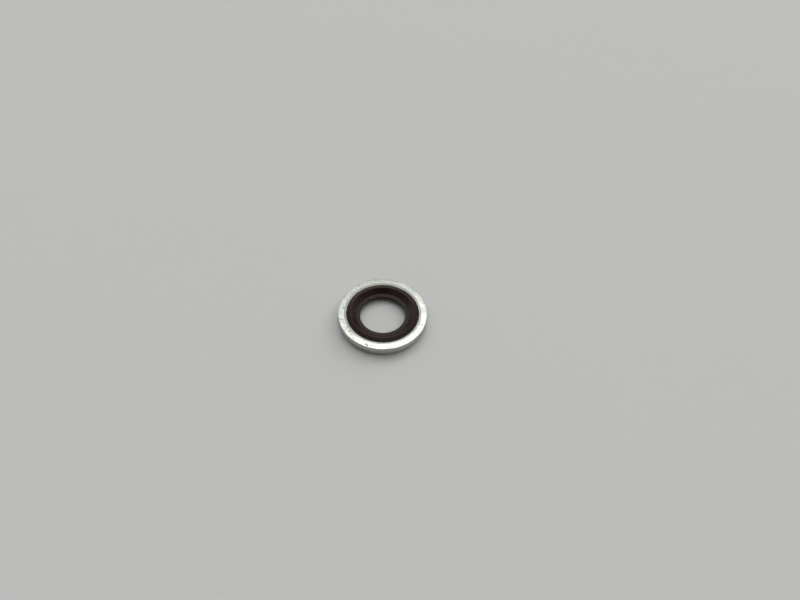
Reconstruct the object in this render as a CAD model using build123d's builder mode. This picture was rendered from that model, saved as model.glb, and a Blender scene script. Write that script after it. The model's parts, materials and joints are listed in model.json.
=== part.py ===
"""Self-centring bonded sealing washer for an M10 screw or union.

A flat steel ring carries the clamping load, and a rubber seal is vulcanised into its
bore.  The seal's lip stands proud of the steel above and below, so that it is squeezed
before the steel takes up the load.  A thin web at mid-height reaches inwards from the
lip and centres the washer on the root of the thread.  Both pieces are turned shapes
about the Z axis, and their sections are the same above and below mid-height.

Units are millimetres.  The washer lies on its lower lip: Z = 0 is the surface that it
rests on, and the origin is on its axis.
"""

from build123d import *
import os

# --- Driving dimensions: radial sizes, in order from the bore outwards ------------------
web_bore_diameter = 8.2  # just over the root of an M10 thread
web_reach = 0.7  # flat of the centring web, from its bore to the root of the lip
lip_inner_run = 0.85  # slope from the root up to the crest
lip_crest_width = 0.14  # flat crest that the washer lies on
lip_outer_run = 0.71  # slope from the crest down to the steel
ring_width = 1.5  # steel, from its bore to its outside: 16 mm outside diameter
bevel_width = 0.40  # shallow clamped border round each end of the steel's bore

# --- Driving dimensions: heights --------------------------------------------------------
ring_thickness = 1.5
bevel_depth = 0.05  # how far that border slopes down to the bore
lip_height = 0.22  # how far each crest stands proud of the steel's face
web_thickness = 0.4

# --- Driving dimensions: edge radii -----------------------------------------------------
ring_edge_radius = 0.10  # blanked outer edges, rounded by barrelling before plating
crest_edge_radius = 0.12
web_root_radius = 0.60
web_nose_radius = 0.13

# --- Radii that follow ------------------------------------------------------------------
web_bore_radius = web_bore_diameter / 2
web_root_at = web_bore_radius + web_reach
crest_inner_at = web_root_at + lip_inner_run
crest_outer_at = crest_inner_at + lip_crest_width
bond_radius = crest_outer_at + lip_outer_run  # bore of the steel, outside of the rubber
bevel_at = bond_radius + bevel_width
ring_outer_radius = bond_radius + ring_width

# --- Heights that follow, measured from mid-height --------------------------------------
web_top = web_thickness / 2
ring_top = ring_thickness / 2
bond_top = ring_top - bevel_depth  # the rubber meets the steel at the foot of the bevel
crest_top = ring_top + lip_height

# Upper half-sections are drawn radius across and height up, from the axis at mid-height,
# and mirrored down.  The lower crest is at Z = 0, so mid-height is at Z = crest_top.
section_plane = Plane(origin=(0, 0, crest_top), x_dir=(1, 0, 0), z_dir=(0, -1, 0))

# --- Steel ring -------------------------------------------------------------------------
with BuildPart() as steel_ring:
    with BuildSketch(section_plane):
        with BuildLine():
            # Up the bore and its bevel, along the face and down the outside
            FilletPolyline(
                (bond_radius, 0),
                (bond_radius, bond_top),
                (bevel_at, ring_top),
                (ring_outer_radius, ring_top),
                (ring_outer_radius, 0),
                radius=(0, 0, ring_edge_radius),
            )
            # Back along mid-height
            Line((ring_outer_radius, 0), (bond_radius, 0))
        make_face()
        mirror(about=Plane.XZ)
    revolve(axis=Axis.Z)

# --- Rubber seal: web, lip and bond -----------------------------------------------------
with BuildPart() as rubber_seal:
    with BuildSketch(section_plane):
        with BuildLine():
            # Up the web's nose, out along the web, over the lip and down the bond
            FilletPolyline(
                (web_bore_radius, 0),
                (web_bore_radius, web_top),
                (web_root_at, web_top),
                (crest_inner_at, crest_top),
                (crest_outer_at, crest_top),
                (bond_radius, bond_top),
                (bond_radius, 0),
                radius=(
                    web_nose_radius,
                    web_root_radius,
                    crest_edge_radius,
                    crest_edge_radius,
                    0,
                ),
            )
            # Back along mid-height
            Line((bond_radius, 0), (web_bore_radius, 0))
        make_face()
        mirror(about=Plane.XZ)
    revolve(axis=Axis.Z)

steel_ring.part.label = "steel_ring"
rubber_seal.part.label = "rubber_seal"

os.makedirs("parts", exist_ok=True)
export_step(steel_ring.part, "parts/steel_ring.step")
export_step(rubber_seal.part, "parts/rubber_seal.step")
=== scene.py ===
"""Looks of a self-centring bonded sealing washer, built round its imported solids.

Two pieces lie on a pale floor: a stamped and zinc-plated steel ring, and the brown
rubber seal that is moulded into its bore.  Each is drawn as a section and spun about Z,
and then given the marks of how it was made and handled.

Lengths are metres in the meshes.  Sizes are written in millimetres times MM.  The
shaders work in millimetres, which keeps the scales of their patterns easy to read.
"""

import json
import logging
import math
from collections.abc import Callable, Sequence
from dataclasses import dataclass, replace
from enum import Enum

import bmesh
import bpy
from mathutils import Matrix, Vector
from mathutils.kdtree import KDTree


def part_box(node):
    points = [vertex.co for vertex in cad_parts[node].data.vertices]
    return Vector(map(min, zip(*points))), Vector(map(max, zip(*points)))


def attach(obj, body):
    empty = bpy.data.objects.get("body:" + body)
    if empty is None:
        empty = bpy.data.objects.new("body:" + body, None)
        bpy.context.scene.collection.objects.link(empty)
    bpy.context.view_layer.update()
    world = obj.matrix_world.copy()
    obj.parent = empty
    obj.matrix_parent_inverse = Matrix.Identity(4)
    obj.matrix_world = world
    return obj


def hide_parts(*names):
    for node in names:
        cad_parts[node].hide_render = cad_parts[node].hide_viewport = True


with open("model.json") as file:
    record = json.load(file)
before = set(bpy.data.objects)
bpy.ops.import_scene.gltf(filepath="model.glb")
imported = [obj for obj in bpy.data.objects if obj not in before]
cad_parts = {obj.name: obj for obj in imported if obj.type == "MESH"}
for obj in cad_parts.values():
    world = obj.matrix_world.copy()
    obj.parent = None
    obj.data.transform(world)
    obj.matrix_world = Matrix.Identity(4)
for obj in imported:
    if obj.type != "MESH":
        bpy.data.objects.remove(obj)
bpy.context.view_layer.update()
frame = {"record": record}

MM = 0.001
FULL_TURN = 2 * math.pi
ORIGIN = (0.0, 0.0, 0.0)
Z_AXIS = (0.0, 0.0, 1.0)
WELD_DISTANCE = 0.001 * MM
SMOOTH_ANGLE = math.radians(32.0)  # edges flatter than this are shaded smooth
DOUBLINGS = 4  # how often a spun sector is copied to close its ring
DENT_REACH = 0.6  # how far from a mark's middle the metal gives, in widths of the mark
SPOT_HEART = 0.3  # the share of a spot's radius that is full
FAINT_SPOTS = 0.4  # the share of the spots that are fainter than the rest
MIX_FIRST, MIX_SECOND, MIXED = 6, 7, 2  # the Mix node's sockets for colours

Colour = tuple[float, float, float, float]
Factors = tuple[float, float, float]  # along X, Y and Z
Range = tuple[float, float]  # where something starts, and where it is full
Settings = dict[str, object]
Values = dict[str | int, object]
Socket = bpy.types.NodeSocket

WHITE: Colour = (1.0, 1.0, 1.0, 1.0)

log = logging.getLogger("washer")


# --- Shader maths -----------------------------------------------------------------------


@dataclass(frozen=True)
class Field:
    """A number that changes over a surface, with arithmetic that adds Math nodes."""

    tree: "NodeBench"
    socket: Socket  # the output that carries the number

    def __add__(self, other: "Field | float") -> "Field":
        """Returns self + other."""
        return self.tree.maths("ADD", self, other)

    def __radd__(self, other: float) -> "Field":
        """Returns other + self."""
        return self.tree.maths("ADD", other, self)

    def __sub__(self, other: "Field | float") -> "Field":
        """Returns self - other."""
        return self.tree.maths("SUBTRACT", self, other)

    def __rsub__(self, other: float) -> "Field":
        """Returns other - self."""
        return self.tree.maths("SUBTRACT", other, self)

    def __mul__(self, other: "Field | float") -> "Field":
        """Returns self * other."""
        return self.tree.maths("MULTIPLY", self, other)

    def __rmul__(self, other: float) -> "Field":
        """Returns other * self."""
        return self.tree.maths("MULTIPLY", other, self)

    def __abs__(self) -> "Field":
        """Returns the value without its sign."""
        return self.tree.maths("ABSOLUTE", self)

    def above(self, other: "Field | float") -> "Field":
        """Returns the larger of the two values."""
        return self.tree.maths("MAXIMUM", self, other)

    def step(self, start: float, end: float) -> "Field":
        """Passes smoothly from 0 at start to 1 at end, whichever is the larger.

        Args:
            start: The value at which the result is 0.
            end: The value at which the result is 1.

        Returns:
            The smoothed step.
        """
        bottom, top = sorted((start, end))
        settings = {"interpolation_type": "SMOOTHSTEP"}
        values = {"Value": self, "From Min": bottom, "From Max": top}
        rising = self.tree.node("ShaderNodeMapRange", settings, values)["Result"]
        return rising if start < end else 1 - rising


@dataclass(frozen=True)
class Outputs:
    """The outputs of a node that was just added, by name."""

    tree: "NodeBench"
    node: bpy.types.Node

    def __getitem__(self, name: str) -> Field:
        """Returns one output as a number."""
        return Field(self.tree, self.node.outputs[name])

    def socket(self, name: "str | int") -> Socket:
        """Returns one output as a plain socket, for colours and vectors."""
        return self.node.outputs[name]


class NodeBench:
    """A shader tree, with short ways to add its nodes."""

    def __init__(self, tree: bpy.types.NodeTree) -> None:
        """Clears the tree.

        Args:
            tree: The tree to fill.
        """
        self.nodes = tree.nodes
        self.links = tree.links
        self.nodes.clear()

    def node(self, kind: str, settings: Settings, values: Values) -> Outputs:
        """Adds any node: its settings first, then the values or links of its sockets.

        Args:
            kind: The node's type name.
            settings: Attributes to set.
            values: What goes into each input, by its name or number.

        Returns:
            The node's outputs.
        """
        node = self.nodes.new(kind)
        for key, value in settings.items():
            setattr(node, key, value)
        for key, value in values.items():
            socket = node.inputs[key]
            if isinstance(value, Field):
                self.links.new(value.socket, socket)
            elif isinstance(value, Socket):
                self.links.new(value, socket)
            else:
                socket.default_value = value
        return Outputs(self, node)

    def maths(self, operation: str, *values: "Field | float") -> Field:
        """Adds a Math node and returns its result."""
        settings = {"operation": operation}
        return self.node("ShaderNodeMath", settings, dict(enumerate(values)))["Value"]

    def vector(self, operation: str, *values: "Socket | Factors") -> Outputs:
        """Adds a Vector Math node and returns its outputs."""
        settings = {"operation": operation}
        return self.node("ShaderNodeVectorMath", settings, dict(enumerate(values)))

    def scaled(self, vector: Socket, factors: Factors) -> Socket:
        """Returns a vector with each axis multiplied by its own factor."""
        return self.vector("MULTIPLY", vector, factors).socket("Vector")

    def blend(self, share: Field, first: "Socket | Colour", second: Colour) -> Socket:
        """Returns the first colour with a share of the second in it."""
        values = {"Factor": share, MIX_FIRST: first, MIX_SECOND: second}
        return self.node("ShaderNodeMix", {"data_type": "RGBA"}, values).socket(MIXED)


# --- Patterns and marks -----------------------------------------------------------------


@dataclass(frozen=True, kw_only=True)
class Effect:
    """What a mark does to a finish where it is full."""

    colour: Colour = WHITE
    tint: float = 0.0  # the share of its colour
    rough: float = 0.0  # added to the roughness
    rise: float = 0.0  # added to the height, mm


@dataclass(frozen=True, kw_only=True)
class Pattern(Effect):
    """A cloudy pattern, and what it does to a finish."""

    waves: float = 1.0  # in one millimetre
    octaves: float = 2.0
    span: Range | None = None  # values of the noise
    turn: float = 0.0  # degrees about Z
    stretch: Factors = (1.0, 1.0, 1.0)  # times as many waves along each axis


@dataclass(frozen=True, kw_only=True)
class Spots(Effect):
    """Scattered round spots, one at most in each cell, and what they do to a finish."""

    cells: float  # in one millimetre
    share: float  # of the cells that have a spot
    size: float  # radius, as a share of a cell
    turn: float = 0.0  # degrees about Z


@dataclass(frozen=True)
class Mark:
    """A knock or a stain on the ring's upper face."""

    azimuth: float  # degrees from +X towards +Y
    radius: float  # of the circle that it lies on, mm
    across: float  # mm
    depth: float  # mm
    stain: float  # how dark it is, from 0 to 1

    def place(self, height: float) -> Vector:
        """Returns its middle, in millimetres, at a height that is too."""
        around = math.radians(self.azimuth)
        return Vector(
            (self.radius * math.cos(around), self.radius * math.sin(around), height)
        )


KNOCKS = (
    Mark(251.5, 7.50, 0.34, 0.030, 0.95),
    Mark(253.6, 7.66, 0.30, 0.024, 0.80),
    Mark(175.0, 7.18, 0.34, 0.018, 0.60),
    Mark(211.5, 6.98, 0.30, 0.018, 0.60),
    Mark(217.0, 7.05, 0.30, 0.012, 0.35),
    Mark(219.5, 7.12, 0.34, 0.022, 0.55),
    Mark(222.0, 7.20, 0.34, 0.012, 0.40),
    Mark(225.0, 7.28, 0.30, 0.010, 0.30),
    Mark(233.0, 7.40, 0.24, 0.014, 0.40),
    Mark(265.0, 7.15, 0.16, 0.012, 0.40),
    Mark(271.0, 7.64, 0.24, 0.012, 0.25),
    Mark(135.0, 7.36, 0.30, 0.018, 0.60),
    Mark(128.0, 7.86, 0.30, 0.020, 0.65),
    Mark(160.0, 7.60, 0.22, 0.012, 0.30),
    Mark(33.0, 7.52, 0.26, 0.014, 0.35),
    Mark(48.0, 7.78, 0.40, 0.012, 0.35),
    Mark(310.0, 7.45, 0.16, 0.010, 0.20),
)
SCUFFS = (
    Mark(205.0, 7.40, 6.40, 0.0, 1.0),
    Mark(125.0, 7.40, 5.40, 0.0, 1.0),
    Mark(85.0, 7.60, 4.00, 0.0, 0.7),
    Mark(48.0, 7.60, 2.60, 0.0, 0.5),
)


class Dressing(NodeBench):
    """The shader tree of one material, which reads places on the piece in millimetres."""

    def __init__(self, name: str) -> None:
        """Makes an empty material.

        Args:
            name: The material's name.
        """
        self.material = bpy.data.materials.new(name)
        self.material.use_nodes = True
        super().__init__(self.material.node_tree)
        place = self.node("ShaderNodeTexCoord", {}, {}).socket("Object")
        self.place = self.scaled(place, (1 / MM, 1 / MM, 1 / MM))
        level = self.scaled(self.place, (1.0, 1.0, 0.0))
        self.radius = self.vector("LENGTH", level)["Value"]
        self.height = self.node("ShaderNodeSeparateXYZ", {}, {"Vector": self.place})["Z"]

    def turned(self, degrees: float) -> Socket:
        """Turns the place on the piece about Z.

        Args:
            degrees: How far it is turned.

        Returns:
            The turned place.
        """
        if not degrees:
            return self.place
        settings = {"rotation_type": "Z_AXIS"}
        values = {"Vector": self.place, "Angle": math.radians(degrees)}
        return self.node("ShaderNodeVectorRotate", settings, values).socket("Vector")

    def section(self) -> Socket:
        """Returns the place in the piece's section: its radius and its height."""
        values = {"X": self.radius, "Y": self.height}
        return self.node("ShaderNodeCombineXYZ", {}, values).socket("Vector")

    def pattern(self, look: Pattern, place: Socket | None = None) -> Field:
        """Adds a cloudy pattern.

        Args:
            look: The pattern.
            place: Where it is read, if that isn't the place on the piece.

        Returns:
            The pattern: from 0 to 1 if it has a span, and else mostly from 0.3 to 0.7.
        """
        if place is None:
            place = self.scaled(self.turned(look.turn), look.stretch)
        values = {"Vector": place, "Scale": look.waves, "Detail": look.octaves}
        noise = self.node("ShaderNodeTexNoise", {}, values)["Fac"]
        return noise.step(*look.span) if look.span else noise

    def spots(self, look: Spots) -> Field:
        """Adds scattered round spots.

        Args:
            look: The spots.

        Returns:
            The spots, 1 in the middle of each and 0 away from them.
        """
        values = {"Vector": self.turned(look.turn), "Scale": look.cells}
        cells = self.node("ShaderNodeTexVoronoi", {}, values)
        values = {"Color": cells.socket("Color")}
        draw = self.node("ShaderNodeSeparateColor", {}, values)["Red"]
        chosen = draw.step(1 - look.share, 1 - look.share * (1 - FAINT_SPOTS))
        return cells["Distance"].step(look.size, look.size * SPOT_HEART) * chosen

    def tinted(self, colour: "Socket | Colour", share: Field, mark: Effect) -> Socket:
        """Returns a colour with a mark's own colour laid over it."""
        return self.blend(share * mark.tint, colour, mark.colour)

    def marked(self, roughness: float, marks: Sequence[tuple[Field, Effect]]) -> Values:
        """Adds up what the marks do to the surface.

        Args:
            roughness: The roughness where nothing marks the surface.
            marks: How strong each mark is, and what it does where it is full.

        Returns:
            What goes into the surface shader's inputs.
        """
        rough = sum((share * mark.rough for share, mark in marks if mark.rough), roughness)
        height = sum((share * mark.rise for share, mark in marks if mark.rise), 0.0)
        values = {"Distance": MM, "Height": height}
        normal = self.node("ShaderNodeBump", {}, values).socket("Normal")
        return {"Roughness": rough, "Normal": normal}

    def finish(self, values: Values) -> bpy.types.Material:
        """Adds the surface shader and the output.

        Args:
            values: What goes into the surface shader's inputs.

        Returns:
            The finished material.
        """
        surface = self.node("ShaderNodeBsdfPrincipled", {}, values).socket("BSDF")
        self.node("ShaderNodeOutputMaterial", {}, {"Surface": surface})
        return self.material


# --- Finishes ---------------------------------------------------------------------------


@dataclass(frozen=True)
class ZincPlate:
    """Bright zinc plate on stamped steel, scratched and dulled by handling, with painted
    shade along the upper outer edge.

    A range of radii or heights is in millimetres.
    """

    roughness: float = 0.13
    bright: Colour = (0.71, 0.735, 0.68, 1.0)
    dull: Colour = (0.56, 0.59, 0.54, 1.0)
    haze: Pattern = Pattern(waves=0.7, octaves=3.0, span=(0.42, 0.66), tint=0.35, rough=0.1)
    mottle: Pattern = Pattern(waves=2.6, rough=0.12, rise=0.004)
    grain: Pattern = Pattern(waves=22.0, rough=0.2, rise=0.0012)
    straw: Pattern = Pattern(
        colour=(0.72, 0.69, 0.58, 1.0), tint=0.5, waves=0.45, span=(0.50, 0.72), turn=40.0
    )
    green: Pattern = Pattern(
        colour=(0.55, 0.66, 0.60, 1.0), tint=0.45, waves=0.6, span=(0.52, 0.70), turn=130.0
    )
    dings: Spots = Spots(cells=1.9, share=0.25, size=0.25, turn=33.0, rise=-0.006)
    pecks: Spots = Spots(cells=5.0, share=0.3, size=0.3, rise=-0.003)

    face_height: float = 1.72
    stain: Effect = Effect(colour=(0.125, 0.120, 0.090, 1.0), rough=0.3)
    stain_range: Range = (0.75, 0.15)  # from its middle, in widths of the mark
    stain_edge: Pattern = Pattern(waves=9.0)
    stain_raggedness: float = 0.10
    scuff: Effect = Effect(colour=dull, tint=0.08, rough=0.06)
    scuffed_mottle: Effect = Effect(rise=0.006)
    freckles: Pattern = Pattern(waves=3.6, octaves=3.0, span=(0.53, 0.70), tint=0.45)

    scratch: Effect = Effect(tint=0.25, rough=0.15, rise=-0.003)
    scratch_turns: tuple[float, ...] = (12.0, 63.0, 108.0, 151.0)
    scratch_lines: tuple[float, ...] = (5.0, 4.0, 6.0, 4.5)  # in one millimetre
    scratch_breaks: float = 0.12  # in one millimetre
    scratch_range: Range = (0.014, 0.004)
    scratched: Pattern = Pattern(octaves=1.0, span=(0.56, 0.62), stretch=(1.6, 0.6, 1.0))

    coined: Effect = Effect(colour=(0.41, 0.42, 0.395, 1.0), tint=0.9, rough=0.12)
    coined_range: Range = (6.94, 6.88)
    # Painted shade: the rounding of the upper outer edge is painted darker, a dark line
    # that stands in for the shade and dark reflection there.
    painted_edge_shade: Effect = Effect(colour=(0.30, 0.31, 0.29, 1.0), tint=0.7)
    painted_edge_shade_range: Range = (7.93, 7.955)
    painted_edge_shade_foot: Range = (1.60, 1.67)

    wall: Effect = Effect(tint=0.3)
    wall_range: Range = (7.90, 7.98)
    streaks: Pattern = Pattern(
        octaves=4.0, stretch=(11.0, 11.0, 0.5), rough=0.12, rise=0.010
    )
    scores: Pattern = Pattern(stretch=(16.0, 16.0, 0.12), rough=0.15, rise=-0.003)
    score_range: Range = (0.05, 0.01)
    torn: Effect = Effect(tint=0.04, rough=0.18)
    torn_range: Range = (1.02, 0.94)
    torn_edge: Pattern = Pattern(waves=1.6, octaves=3.0, stretch=(1.0, 1.0, 0.2))
    torn_raggedness: float = 0.5
    tears: Pattern = Pattern(octaves=6.0, stretch=(10.0, 10.0, 2.6), tint=0.32, rise=0.055)
    tear_dirt: Range = (0.44, 0.62)
    residue: Colour = (0.10, 0.105, 0.10, 1.0)

    def _scratches(self, tree: Dressing) -> Field:
        """Adds fine broken lines in several directions.

        Args:
            tree: The material's tree.

        Returns:
            The scratches, 1 along their middles.
        """
        total: Field | None = None
        across, along, _ = self.scratched.stretch
        ways = zip(self.scratch_turns, self.scratch_lines)
        for layer, (turn, lines) in enumerate(ways, start=1):
            thin = (lines, self.scratch_breaks, 1.0)
            grooves = Pattern(octaves=0.0, turn=turn, stretch=thin)
            line = abs(tree.pattern(grooves) - 0.5).step(*self.scratch_range)
            wide = (across, along, float(layer))  # its own slice of noise
            kept = line * tree.pattern(replace(self.scratched, turn=turn, stretch=wide))
            total = kept if total is None else total.above(kept)
        return total

    def _stains(self, tree: Dressing, marks: Sequence[Mark]) -> Field:
        """Adds the dirt that lies in each mark.

        Args:
            tree: The material's tree.
            marks: The marks.

        Returns:
            How dirty each place is, from 0 to 1.
        """
        total: Field | None = None
        start, full = self.stain_range
        ragged = (tree.pattern(self.stain_edge) - 0.5) * self.stain_raggedness
        for mark in marks:
            middle = tuple(mark.place(self.face_height))
            reach = tree.vector("DISTANCE", tree.place, middle)["Value"] + ragged
            stain = reach.step(mark.across * start, mark.across * full) * mark.stain
            total = stain if total is None else total.above(stain)
        return total

    def material(self) -> bpy.types.Material:
        """Adds the plate's material.

        Returns:
            The material.
        """
        tree = Dressing("zinc_plate")
        haze = tree.pattern(self.haze)
        mottle = tree.pattern(self.mottle)
        scratches = self._scratches(tree)
        stains = self._stains(tree, KNOCKS)
        coined = tree.radius.step(*self.coined_range)
        # Where the painted shade lies: the rounding of the upper outer edge.
        painted_edge_shade = tree.radius.step(*self.painted_edge_shade_range) * tree.height.step(*self.painted_edge_shade_foot)

        wall = tree.radius.step(*self.wall_range)
        ragged = (tree.pattern(self.torn_edge) - 0.5) * self.torn_raggedness
        torn = wall * (tree.height + ragged).step(*self.torn_range)
        tears = tree.pattern(self.tears)
        scores = abs(tree.pattern(self.scores) - 0.5).step(*self.score_range)
        scores = scores * wall * (1 - torn)
        scuffed = self._stains(tree, SCUFFS) * (1 - wall)
        freckles = tree.pattern(self.freckles) * scuffed

        dulled = haze * self.haze.tint + wall * self.wall.tint
        colour = tree.blend(dulled, self.bright, self.dull)
        colour = tree.tinted(colour, scuffed, self.scuff)
        for tinge in (self.straw, self.green):
            colour = tree.tinted(colour, tree.pattern(tinge), tinge)
        colour = tree.tinted(colour, coined, self.coined)
        # Lays the painted shade on the rounding of the upper outer edge.
        colour = tree.tinted(colour, painted_edge_shade, self.painted_edge_shade)
        dirt = self.torn.tint + self.tears.tint * tears.step(*self.tear_dirt)
        dirt = (torn * dirt).above(scratches * self.scratch.tint)
        colour = tree.blend(dirt, colour, self.residue)
        stained = stains.above(freckles * self.freckles.tint)
        colour = tree.blend(stained, colour, self.stain.colour)

        marks = (
            (haze, self.haze),
            (mottle - 0.5, self.mottle),
            (tree.pattern(self.grain) - 0.5, self.grain),
            (tree.spots(self.dings), self.dings),
            (tree.spots(self.pecks), self.pecks),
            (scuffed, self.scuff),
            (scuffed * mottle, self.scuffed_mottle),
            (scratches, self.scratch),
            (stains, self.stain),
            (coined, self.coined),
            (wall * tree.pattern(self.streaks), self.streaks),
            (scores, self.scores),
            (torn, self.torn),
            (torn * tears, self.tears),
        )
        values = {"Base Color": colour, "Metallic": 1.0}
        return tree.finish(values | tree.marked(self.roughness, marks))


@dataclass(frozen=True)
class MouldedRubber:
    """Dark red-brown rubber with the turning marks of its mould, a little dust, and painted
    shade on the lip's inner slope.
    """

    roughness: float = 0.28
    gloss: float = 0.29
    brown: Colour = (0.0188, 0.0066, 0.0026, 1.0)
    worn: Pattern = Pattern(
        colour=(0.0222, 0.0098, 0.0050, 1.0),
        tint=1.0,
        rough=0.10,
        waves=1.3,
        octaves=3.0,
        span=(0.40, 0.65),
    )
    # Painted shade: the lip's inner slope is painted darker than the rest of the rubber.
    painted_flank_shade: Effect = Effect(colour=(0.0064, 0.0018, 0.0006, 1.0), tint=0.55)
    painted_flank_shade_foot: Range = (4.85, 5.40)  # radii on the lip's inner slope, mm
    painted_flank_shade_top: Range = (5.67, 5.59)
    grain: Pattern = Pattern(waves=26.0, octaves=3.0, rough=0.25, rise=0.0016)
    rings: Pattern = Pattern(waves=9.0, octaves=3.0, rise=0.004)
    dust: Spots = Spots(
        colour=(0.30, 0.29, 0.27, 1.0),
        tint=0.7,
        rough=0.3,
        rise=0.006,
        cells=3.2,
        share=0.10,
        size=0.13,
    )

    def material(self) -> bpy.types.Material:
        """Adds the rubber's material.

        Returns:
            The material.
        """
        tree = Dressing("moulded_rubber")
        worn = tree.pattern(self.worn)
        dust = tree.spots(self.dust)
        # Where the painted shade lies: the lip's inner slope, all round the seal.
        painted_flank_shade = tree.radius.step(*self.painted_flank_shade_foot) * tree.radius.step(*self.painted_flank_shade_top)
        colour = tree.tinted(self.brown, worn, self.worn)
        colour = tree.tinted(colour, painted_flank_shade, self.painted_flank_shade)
        colour = tree.tinted(colour, dust, self.dust)
        marks = (
            (worn, self.worn),
            (tree.pattern(self.grain) - 0.5, self.grain),
            (tree.pattern(self.rings, tree.section()), self.rings),
            (dust, self.dust),
        )
        values = {"Base Color": colour, "Specular IOR Level": self.gloss}
        return tree.finish(values | tree.marked(self.roughness, marks))


@dataclass(frozen=True)
class PaleFloor:
    """Plain matt pale floor."""

    roughness: float = 0.9
    gloss: float = 0.1
    pale: Colour = (0.630, 0.632, 0.617, 1.0)
    mist: Pattern = Pattern(colour=(0.5, 0.5, 0.5, 1.0), tint=0.04, waves=0.02)

    def material(self) -> bpy.types.Material:
        """Adds the floor's material.

        Returns:
            The material.
        """
        tree = Dressing("pale_floor")
        colour = tree.tinted(self.pale, tree.pattern(self.mist), self.mist)
        values = {"Roughness": self.roughness, "Specular IOR Level": self.gloss}
        return tree.finish(values | {"Base Color": colour})


# --- Turned pieces ----------------------------------------------------------------------


@dataclass(frozen=True)
class Corner:
    """One corner of a section, and the run that leads on from it, in metres."""

    radius: float
    height: float
    ease: float = 0.0  # from the corner to where its rounding starts
    facets: int = 4  # faces across the rounding
    cuts: int = 0  # cuts across the run to the next corner

    @property
    def place(self) -> Vector:
        """Returns the corner in the XZ plane."""
        return Vector((self.radius, 0.0, self.height))


def retraced(corners: Sequence[Corner]) -> list[Corner]:
    """Draws corners in the opposite order, with the same cuts across each run.

    Args:
        corners: The corners.

    Returns:
        The corners from the last to the first, whose own run has no cuts.
    """
    back = corners[::-1]
    cuts = [corner.cuts for corner in back[1:]] + [0]
    return [replace(corner, cuts=count) for corner, count in zip(back, cuts)]


class Push(Enum):
    """The direction that unevenness moves a surface in."""

    OUTWARDS = "NORMAL"
    UPWARDS = "Z"


@dataclass(frozen=True)
class Unevenness:
    """A cloudy pattern that pushes a surface in and out, in metres."""

    name: str
    wave: float
    reach: float  # between its least and its most
    push: Push = Push.OUTWARDS
    level: float = 0.5  # the pattern's value at which the surface stays


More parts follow.
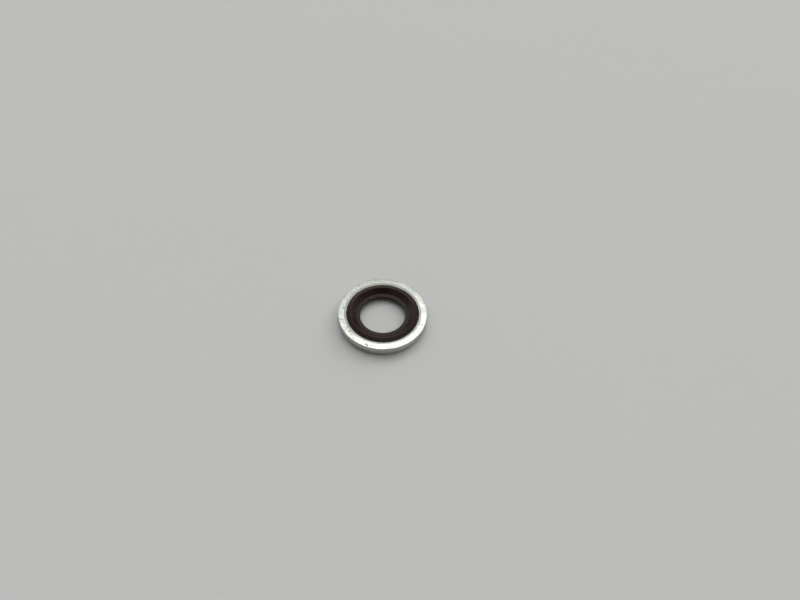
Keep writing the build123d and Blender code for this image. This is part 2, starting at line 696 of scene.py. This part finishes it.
class TurnedPiece:
    """A closed ring that is drawn as a section, spun about Z, and then worn."""

    def __init__(self, name: str, corners: Sequence[Corner], steps: int) -> None:
        """Draws and spins the ring.

        Args:
            name: The piece's name.
            corners: The section's corners, in order round it.
            steps: Faces round the ring.
        """
        self.corners = corners
        self._start(name)
        self._draw()
        self._round_corners()
        self._spin(steps)

    def _start(self, name: str) -> None:
        """Adds a small plane at the first corner and closes it up to one point."""
        bpy.ops.object.select_all(action="DESELECT")
        bpy.ops.mesh.primitive_plane_add(size=MM, location=self.corners[0].place)
        bpy.ops.object.transform_apply()
        self.piece = bpy.context.object
        self.piece.name = name
        self.piece.data.name = name
        bpy.ops.object.mode_set(mode="EDIT")
        bpy.ops.mesh.select_mode(type="VERT")
        bpy.ops.mesh.select_all(action="SELECT")
        bpy.ops.mesh.merge(type="CENTER")

    def _draw(self) -> None:
        """Extrudes the point from corner to corner and closes the section as a face."""
        for here, onward in zip(self.corners, self.corners[1:]):
            stride = (onward.place - here.place) / (here.cuts + 1)
            for _ in range(here.cuts + 1):
                bpy.ops.mesh.extrude_vertices_move(
                    TRANSFORM_OT_translate={"value": stride}
                )
        bpy.ops.mesh.select_all(action="SELECT")
        bpy.ops.mesh.edge_face_add()

    def _round_corners(self) -> None:
        """Bevels each corner that has an ease."""
        for corner in self.corners:
            if corner.ease:
                bpy.ops.mesh.select_all(action="DESELECT")
                mesh = bmesh.from_edit_mesh(self.piece.data)
                nearest = min(mesh.verts, key=lambda v: (v.co - corner.place).length)
                nearest.select = True
                bmesh.update_edit_mesh(self.piece.data)
                bpy.ops.mesh.bevel(
                    affect="VERTICES", offset=corner.ease, segments=corner.facets
                )

    def _spin(self, steps: int) -> None:
        """Spins one sector of the ring and doubles it until it closes.

        Args:
            steps: Faces round the ring.
        """
        sectors = 2**DOUBLINGS
        angle = FULL_TURN / sectors
        bpy.ops.mesh.select_all(action="SELECT")
        bpy.ops.mesh.delete(type="ONLY_FACE")
        bpy.ops.mesh.select_all(action="SELECT")
        bpy.ops.mesh.spin(steps=steps // sectors, angle=angle, center=ORIGIN, axis=Z_AXIS)
        for doubling in range(DOUBLINGS):
            bpy.ops.mesh.select_all(action="SELECT")
            bpy.ops.mesh.duplicate()
            bpy.ops.transform.rotate(
                value=angle * 2**doubling, orient_axis="Z", center_override=ORIGIN
            )
        bpy.ops.mesh.select_all(action="SELECT")
        bpy.ops.mesh.remove_doubles(threshold=WELD_DISTANCE)
        bpy.ops.mesh.normals_make_consistent(inside=False)
        bpy.ops.object.mode_set(mode="OBJECT")

    def roughen(self, look: Unevenness, share: Callable[[Vector], float]) -> None:
        """Pushes part of the surface in and out with a pattern.

        Args:
            look: The pattern.
            share: How much of it a place gets, from 0 to 1.
        """
        group = self.piece.vertex_groups.new(name=look.name)
        for vertex in self.piece.data.vertices:
            weight = share(vertex.co)
            if weight > 0:
                group.add((vertex.index,), weight, "REPLACE")
        texture = bpy.data.textures.new(look.name, "CLOUDS")
        texture.noise_scale = look.wave
        modifier = self.piece.modifiers.new(look.name, "DISPLACE")
        modifier.texture = texture
        modifier.texture_coords = "LOCAL"
        modifier.direction = look.push.value
        modifier.mid_level = look.level
        modifier.strength = look.reach
        modifier.vertex_group = look.name
        self._activate()
        bpy.ops.object.modifier_apply(modifier=look.name)
        self.piece.vertex_groups.clear()

    def dent(self, marks: Sequence[Mark], face: float) -> None:
        """Presses each mark into a level face with a soft grab of its vertices.

        Args:
            marks: The marks.
            face: The height of the face.
        """
        tree = KDTree(len(self.piece.data.vertices))
        for vertex in self.piece.data.vertices:
            tree.insert(vertex.co, vertex.index)
        tree.balance()
        middles = [mark.place(face / MM) * MM for mark in marks]
        chosen = [tree.find(middle)[1] for middle in middles]
        self._activate()
        bpy.ops.object.mode_set(mode="EDIT")
        for mark, index in zip(marks, chosen):
            bpy.ops.mesh.select_all(action="DESELECT")
            mesh = bmesh.from_edit_mesh(self.piece.data)
            mesh.verts.ensure_lookup_table()
            mesh.verts[index].select = True
            bmesh.update_edit_mesh(self.piece.data)
            bpy.ops.transform.translate(
                value=(0.0, 0.0, -mark.depth * MM),
                use_proportional_edit=True,
                proportional_edit_falloff="SMOOTH",
                proportional_size=mark.across * MM * DENT_REACH,
            )
        bpy.ops.object.mode_set(mode="OBJECT")

    def _activate(self) -> None:
        """Selects this piece alone."""
        bpy.ops.object.select_all(action="DESELECT")
        self.piece.select_set(True)
        bpy.context.view_layer.objects.active = self.piece

    def dress(self, finish: bpy.types.Material, node: str) -> None:
        """Gives the piece its material and its place in the frame.

        Args:
            finish: The material.
            node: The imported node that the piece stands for.
        """
        self.piece.data.materials.append(finish)
        self._activate()
        bpy.ops.object.shade_smooth_by_angle(angle=SMOOTH_ANGLE)
        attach(self.piece, "root")
        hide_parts(node)


def near(value: float, middle: float, reach: float) -> float:
    """Returns 1 at the middle and falls to 0 at the reach either side of it."""
    return max(0.0, 1.0 - abs(value - middle) / reach)


@dataclass
class SteelRing:
    """The flat steel ring: a bordered bore, two level faces, and a torn outer wall."""

    outer_radius: float
    bore_radius: float
    bottom: float
    top: float
    bevel_depth: float = 0.05 * MM
    land_start: float = 0.06 * MM  # from the bore, where the bevel ends
    land_width: float = 0.34 * MM
    land_depth: float = 0.022 * MM
    land_line_width: float = 0.04 * MM
    land_line_depth: float = 0.030 * MM
    top_ease: float = 0.07 * MM
    foot_ease: float = 0.056 * MM
    taper: float = 0.008 * MM
    tear_top: float = 0.76 * MM  # above the lower face
    tear_step: float = 0.05 * MM
    tear_inset: float = 0.015 * MM
    tear_reach: float = 0.2 * MM  # how far above and below the step its line wanders
    torn_above: float = 0.1 * MM  # above the lower face, where the tears start
    torn_below: float = 0.05 * MM  # below the step, where they end
    wall_margin: float = 0.1 * MM  # in from the outer radius, for what counts as the wall
    edge_reach: float = 0.22 * MM  # how far the wear of the outer edges spreads
    tear_line: Unevenness = Unevenness("tear_line", 0.7 * MM, 0.22 * MM, Push.UPWARDS)
    tears: Unevenness = Unevenness("tears", 0.16 * MM, 0.035 * MM)
    edge_wear: Unevenness = Unevenness("edge_wear", 0.5 * MM, 0.022 * MM, level=0.55)
    waviness: Unevenness = Unevenness("waviness", 1.5 * MM, 0.008 * MM)
    finish: ZincPlate = ZincPlate()
    steps: int = 896  # faces round the ring

    @property
    def bevel_slope(self) -> float:
        """Returns the rise over the run of the bevel round the bore."""
        return (self.bevel_depth - self.land_depth) / self.land_start

    @property
    def tear_middle(self) -> float:
        """Returns the height of the middle of the step at the top of the tear."""
        return self.bottom + self.tear_top + self.tear_step / 2

    def _face(self, height: float, inwards: float, cuts: Sequence[int]) -> list[Corner]:
        """Draws one face: the bevel, the land that the mould clamped, and its line.

        Args:
            height: The height of the face.
            inwards: The direction into the metal, 1 for up and -1 for down.
            cuts: Cuts across the bevel, the land, and the face beyond its line.

        Returns:
            The corners, from the bore outwards.
        """
        land = self.bore_radius + self.land_start
        line = land + self.land_width
        deepest = line + self.land_line_width / 2
        return [
            Corner(self.bore_radius, height + inwards * self.bevel_depth, cuts=cuts[0]),
            Corner(land, height + inwards * self.land_depth, cuts=cuts[1]),
            Corner(line, height + inwards * self.land_depth),
            Corner(deepest, height + inwards * self.land_line_depth),
            Corner(line + self.land_line_width, height, cuts=cuts[2]),
        ]

    def corners(self) -> list[Corner]:
        """Draws the section.

        Returns:
            The corners, out over the upper face, down the wall and back over the lower.
        """
        wall = self.outer_radius - self.tear_inset
        tear = self.bottom + self.tear_top
        outside = [
            Corner(self.outer_radius, self.top, self.top_ease, facets=6, cuts=6),
            Corner(self.outer_radius, tear + self.tear_step, cuts=1),
            Corner(wall, tear, cuts=7),
            Corner(wall - self.taper, self.bottom, self.foot_ease, facets=5, cuts=14),
        ]
        upper = self._face(self.top, -1.0, cuts=(1, 3, 14))
        lower = self._face(self.bottom, 1.0, cuts=(3, 0, 0))
        return [*upper, *outside, *retraced(lower)]

    def _on_wall(self, place: Vector) -> bool:
        """Says whether a place is on the outer wall."""
        return place.xy.length > self.outer_radius - self.wall_margin

    def _by_tear(self, place: Vector) -> float:
        """Returns how close a place on the wall is to the step, from 0 to 1."""
        return self._on_wall(place) * near(place.z, self.tear_middle, self.tear_reach)

    def _torn(self, place: Vector) -> float:
        """Returns 1 on the torn part of the wall."""
        low, high = self.bottom + self.torn_above, self.tear_middle - self.torn_below
        return float(self._on_wall(place) and low < place.z < high)

    def _by_edge(self, place: Vector) -> float:
        """Finds how close a place is to one of the two outer edges.

        Args:
            place: The place.

        Returns:
            The closeness, from 0 to 1.
        """
        across = self.outer_radius - place.xy.length
        level = min(abs(place.z - self.top), abs(place.z - self.bottom))
        return near(math.hypot(across, level), 0.0, self.edge_reach)

    def _bare(self, place: Vector) -> float:
        """Returns 1 away from the bore, which the rubber fills."""
        return float(place.xy.length > self.bore_radius + self.land_start)

    def build(self) -> bpy.types.Object:
        """Builds, wears and dresses the ring.

        Returns:
            The finished piece.
        """
        ring = TurnedPiece("plated_steel_ring", self.corners(), self.steps)
        ring.roughen(self.tear_line, self._by_tear)
        ring.roughen(self.tears, self._torn)
        ring.roughen(self.edge_wear, self._by_edge)
        ring.roughen(self.waviness, self._bare)
        ring.dent(KNOCKS, self.top)
        ring.dress(self.finish.material(), "steel_ring")
        return ring.piece


@dataclass
class RubberSeal:
    """The moulded seal: centring web, a lip above and a lip below."""

    bond_radius: float
    web_bore_radius: float
    bottom: float
    top: float
    bond_inset: float  # from a crest to the foot of the steel's bevel
    bevel_slope: float  # rise over run of the bevel that the film creeps up
    web_reach: float = 0.7 * MM
    web_thickness: float = 0.4 * MM
    nose_ease: float = 0.12 * MM
    root_ease: float = 0.40 * MM
    lip_inner_run: float = 0.85 * MM
    crest_width: float = 0.14 * MM
    crest_ease: float = 0.04 * MM
    bond_lap: float = 0.01 * MM  # how far below the bevel's foot the bond starts
    film_reach: float = 0.06 * MM
    film_depth: float = 0.012 * MM
    film_lap: float = 0.004 * MM  # how far the film's edge goes into the steel
    film_start: float = 0.03 * MM  # in from the bond
    film_start_rise: float = 0.022 * MM
    film_margin: float = 0.01 * MM  # in from the film's tip, for what counts as its edge
    rib_rise: float = 0.018 * MM
    rib_half_height: float = 0.03 * MM
    bond_fade: float = 0.3 * MM  # over which the shrinkage dies out towards the bond
    film_edge: Unevenness = Unevenness("film_edge", 0.45 * MM, 0.10 * MM)
    shrinkage: Unevenness = Unevenness("shrinkage", 1.2 * MM, 0.014 * MM)
    finish: MouldedRubber = MouldedRubber()
    steps: int = 800  # faces round the seal

    @property
    def middle(self) -> float:
        """Returns the height of the middle of the web."""
        return (self.bottom + self.top) / 2

    @property
    def film_tip(self) -> float:
        """Returns the radius at which the film on the bevel ends."""
        return self.bond_radius + self.film_reach

    def _half(self, sign: float) -> list[Corner]:
        """Draws the upper or the lower half of the section.

        Args:
            sign: 1 for the upper half and -1 for the lower.

        Returns:
            The corners, from the nose of the web to the bond.
        """
        nose = self.web_bore_radius
        root = nose + self.web_reach
        crest_in = root + self.lip_inner_run
        crest_out = crest_in + self.crest_width
        foot = self.bond_radius - self.film_start
        crest = (self.top - self.bottom) / 2
        web = self.web_thickness / 2
        bond = crest - self.bond_inset
        film = bond + self.film_reach * self.bevel_slope
        half = [
            Corner(nose, self.rib_half_height, cuts=1),
            Corner(nose, web, self.nose_ease, facets=5, cuts=5),
            Corner(root, web, self.root_ease, facets=12, cuts=4),
            Corner(crest_in, crest, self.crest_ease),
            Corner(crest_out, crest, self.crest_ease, cuts=7),
            Corner(foot, bond + self.film_start_rise, cuts=1),
            Corner(self.film_tip, film + self.film_depth),
            Corner(self.film_tip, film - self.film_lap),
            Corner(self.bond_radius, bond - self.bond_lap, cuts=2),
        ]
        return [replace(c, height=self.middle + sign * c.height) for c in half]

    def corners(self) -> list[Corner]:
        """Draws the section.

        Returns:
            The corners, up the nose of the web, over the lip, and back round the lower.
        """
        rib = Corner(self.web_bore_radius - self.rib_rise, self.middle)
        return [rib, *self._half(1.0), *retraced(self._half(-1.0))]

    def _at_film_edge(self, place: Vector) -> float:
        """Returns 1 at the edge of the film that creeps up the bevel."""
        return float(place.xy.length > self.film_tip - self.film_margin)

    def _free(self, place: Vector) -> float:
        """Returns 1 on the web and the lip, and 0 at the bond."""
        return min(1.0, max(0.0, (self.bond_radius - place.xy.length) / self.bond_fade))

    def build(self) -> bpy.types.Object:
        """Builds, wears and dresses the seal.

        Returns:
            The finished piece.
        """
        seal = TurnedPiece("moulded_rubber_seal", self.corners(), self.steps)
        seal.roughen(self.film_edge, self._at_film_edge)
        seal.roughen(self.shrinkage, self._free)
        seal.dress(self.finish.material(), "rubber_seal")
        return seal.piece


# --- Studio -----------------------------------------------------------------------------


@dataclass(frozen=True)
class Softbox:
    """A round soft light that faces the washer."""

    name: str
    azimuth: float  # degrees from +X towards +Y
    elevation: float
    spread: float  # half of the angle that it fills, in degrees
    brightness: float  # of its face, where 1 is white
    distance: float = 5.0
    mirrored: bool = False  # whether shiny surfaces show it

    def build(self, target: Vector) -> None:
        """Adds the light.

        Args:
            target: The place that it faces.
        """
        around, up = math.radians(self.azimuth), math.radians(self.elevation)
        towards = Vector(
            (math.cos(around) * math.cos(up), math.sin(around) * math.cos(up), math.sin(up))
        )
        data = bpy.data.lights.new(self.name, "AREA")
        data.shape = "DISK"
        data.size = 2 * self.distance * math.tan(math.radians(self.spread))
        area = math.pi * data.size**2 / 4
        data.energy = self.brightness * area * math.pi  # watts for that radiance
        lamp = bpy.data.objects.new(self.name, data)
        lamp.location = target + towards * self.distance
        lamp.rotation_euler = towards.to_track_quat("Z", "Y").to_euler()
        lamp.visible_camera = False
        lamp.visible_glossy = self.mirrored
        bpy.context.scene.collection.objects.link(lamp)


LIGHTS = (
    Softbox("overhead_softbox", 85.0, 68.0, 18.0, 1.4, mirrored=True),
    Softbox("back_light", 92.0, 42.0, 14.0, 2.5),
    Softbox("low_back_light", 50.0, 26.0, 16.0, 3.48),
    Softbox("left_back_light", 138.0, 46.0, 13.0, 1.7),
    Softbox("right_light", 0.0, 48.0, 15.0, 1.0),
    Softbox("low_front_light", 248.0, 13.0, 16.0, 1.0),
)


@dataclass(frozen=True)
class Camera:
    """A camera close above the washer, as a hand would hold it."""

    lens: float = 25.0  # mm
    sensor: float = 36.0  # mm
    frame_width: float = 800.0  # pixels
    elevation: float = 50.79  # degrees
    roll: float = 3.44  # degrees
    depth: float = 100.0 * MM
    seen_right: float = -17.28  # pixels from the frame's centre to the washer's
    seen_down: float = 12.43
    clip_start: float = 1.0 * MM

    def build(self, target: Vector) -> None:
        """Adds the camera and makes it the scene's.

        Args:
            target: The place on the washer that the frame is set out from.
        """
        tilt, roll = math.radians(90.0 - self.elevation), math.radians(self.roll)
        stand = Matrix.Rotation(tilt, 3, "X") @ Matrix.Rotation(roll, 3, "Z")
        pixel = self.depth * self.sensor / self.lens / self.frame_width
        ahead = Vector((self.seen_right * pixel, -self.seen_down * pixel, -self.depth))
        data = bpy.data.cameras.new("camera")
        data.lens = self.lens
        data.sensor_width = self.sensor
        data.clip_start = self.clip_start
        camera = bpy.data.objects.new("camera", data)
        camera.matrix_world = Matrix.Translation(target - stand @ ahead) @ stand.to_4x4()
        bpy.context.scene.collection.objects.link(camera)
        bpy.context.scene.camera = camera


@dataclass(frozen=True)
class Surroundings:
    """A room with pale light behind and above the washer, and a dim front.

    Each kind of ray finds its own version of the room.  What lights the floor and the
    rubber is brightest behind the washer.  What shines in the steel is evener, with a low
    window behind it to the left and a dim figure in front.  The camera finds a plain
    backdrop that starts at the floor's tone.

    Brightnesses are shares of white.  A range is of a direction's X, Y or Z, or of a sum
    of them.
    """

    horizon: float = 0.9
    sky: float = 0.47
    sky_range: Range = (0.05, 0.5)
    front: float = 0.045
    front_range: Range = (0.05, -0.20)
    front_top: Range = (0.95, 0.80)

    shiny_horizon: float = 0.60
    shiny_sky: float = 0.42
    shiny_sky_range: Range = (0.20, 0.70)
    window: float = 0.65
    window_range: Range = (0.8, 1.3)
    window_top: Range = (0.55, 0.25)
    window_foot: Range = (0.10, 0.28)
    figure: float = 0.32
    figure_middle: float = 0.13
    figure_slant: float = 0.25
    figure_range: Range = (0.35, 0.05)
    figure_top: Range = (0.95, 0.85)
    figure_foot: Range = (0.30, 0.45)
    middle_at: Factors = (0.03, -0.62, 0.78)
    middle_range: Range = (0.86, 0.94)

    backdrop: Colour = (0.985, 1.0, 0.985, 1.0)
    backdrop_low: float = 0.51
    backdrop_high: float = 0.80
    backdrop_range: Range = (0.0, 0.6)

    def _lighting(self, axes: Outputs) -> Field:
        """Adds the brightness that lights matt surfaces.

        Args:
            axes: The direction's X, Y and Z.

        Returns:
            The brightness towards each direction.
        """
        light = self.horizon + (self.sky - self.horizon) * axes["Z"].step(*self.sky_range)
        front = axes["Y"].step(*self.front_range) * axes["Z"].step(*self.front_top)
        return light + (self.front - light) * front

    def _reflection(self, tree: NodeBench, towards: Socket, axes: Outputs) -> Field:
        """Adds the brightness that shiny surfaces mirror.

        Args:
            tree: The world's tree.
            towards: The direction.
            axes: The direction's X, Y and Z.

        Returns:
            The brightness towards each direction.
        """
        height = axes["Z"]
        fade = height.step(*self.shiny_sky_range)
        light = self.shiny_horizon + (self.shiny_sky - self.shiny_horizon) * fade
        window = (axes["Y"] - axes["X"]).step(*self.window_range)
        window = window * height.step(*self.window_top) * height.step(*self.window_foot)
        middle = tree.vector("DOT_PRODUCT", towards, self.middle_at)["Value"]
        figure = (self.figure_middle - self.figure) * middle.step(*self.middle_range)
        shape = (axes["Y"] + self.figure_slant * axes["X"]).step(*self.figure_range)
        shape = shape * height.step(*self.figure_top) * height.step(*self.figure_foot)
        return light + (self.figure + figure - light) * shape + self.window * window

    def _backdrop(self, axes: Outputs) -> Field:
        """Returns the brightness that the camera sees behind the floor."""
        rise = axes["Z"].step(*self.backdrop_range)
        return self.backdrop_low + (self.backdrop_high - self.backdrop_low) * rise

    def build(self) -> None:
        """Fills the world with the room."""
        world = bpy.data.worlds.new("surroundings")
        bpy.context.scene.world = world
        world.use_nodes = True
        tree = NodeBench(world.node_tree)
        towards = tree.node("ShaderNodeTexCoord", {}, {}).socket("Generated")
        axes = tree.node("ShaderNodeSeparateXYZ", {}, {"Vector": towards})
        path = tree.node("ShaderNodeLightPath", {}, {})
        seen, mirrored = path["Is Camera Ray"], path["Is Glossy Ray"]
        light = self._lighting(axes)
        light = light + (self._reflection(tree, towards, axes) - light) * mirrored
        light = light + (self._backdrop(axes) - light) * seen
        colour = tree.blend(seen, WHITE, self.backdrop)
        values = {"Color": colour, "Strength": light}
        surface = tree.node("ShaderNodeBackground", {}, values).socket("Background")
        tree.node("ShaderNodeOutputWorld", {}, {"Surface": surface})


@dataclass(frozen=True)
class Studio:
    """The pale floor, the room, the soft lights and the camera."""

    floor_size: float = 0.6
    floor_finish: PaleFloor = PaleFloor()
    surroundings: Surroundings = Surroundings()
    lights: tuple[Softbox, ...] = LIGHTS
    camera: Camera = Camera()

    def build(self, target: Vector) -> None:
        """Builds the studio round the washer.

        Args:
            target: The middle of the washer's upper face.
        """
        self._floor()
        self.surroundings.build()
        for light in self.lights:
            light.build(target)
        self.camera.build(target)
        bpy.context.scene.view_settings.view_transform = "Standard"

    def _floor(self) -> None:
        """Lays the floor that the washer's lower lip rests on."""
        bpy.ops.object.select_all(action="DESELECT")
        bpy.ops.mesh.primitive_plane_add(size=self.floor_size)
        floor = bpy.context.object
        floor.name = "floor"
        floor.data.materials.append(self.floor_finish.material())


# --- The washer -------------------------------------------------------------------------


def main() -> None:
    """Builds the washer and its studio."""
    logging.basicConfig(level=logging.INFO, format="%(name)s: %(message)s")
    ring_low, ring_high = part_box("steel_ring")
    seal_low, seal_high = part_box("rubber_seal")
    mounts = {mount["name"]: mount for mount in frame["record"]["mounts"]}
    ring = SteelRing(
        outer_radius=ring_high.x,
        bore_radius=seal_high.x,
        bottom=ring_low.z,
        top=ring_high.z,
    )
    seal = RubberSeal(
        bond_radius=seal_high.x,
        web_bore_radius=mounts["web_bore"]["dims"]["r_mm"] * MM,
        bottom=seal_low.z,
        top=seal_high.z,
        bond_inset=ring_low.z - seal_low.z + ring.bevel_depth,
        bevel_slope=ring.bevel_slope,
    )
    for part in (ring, seal):
        piece = part.build()
        log.info("%s: %d faces", piece.name, len(piece.data.polygons))
    Studio().build(Vector((0.0, 0.0, ring.top)))


if __name__ == "__main__":
    main()
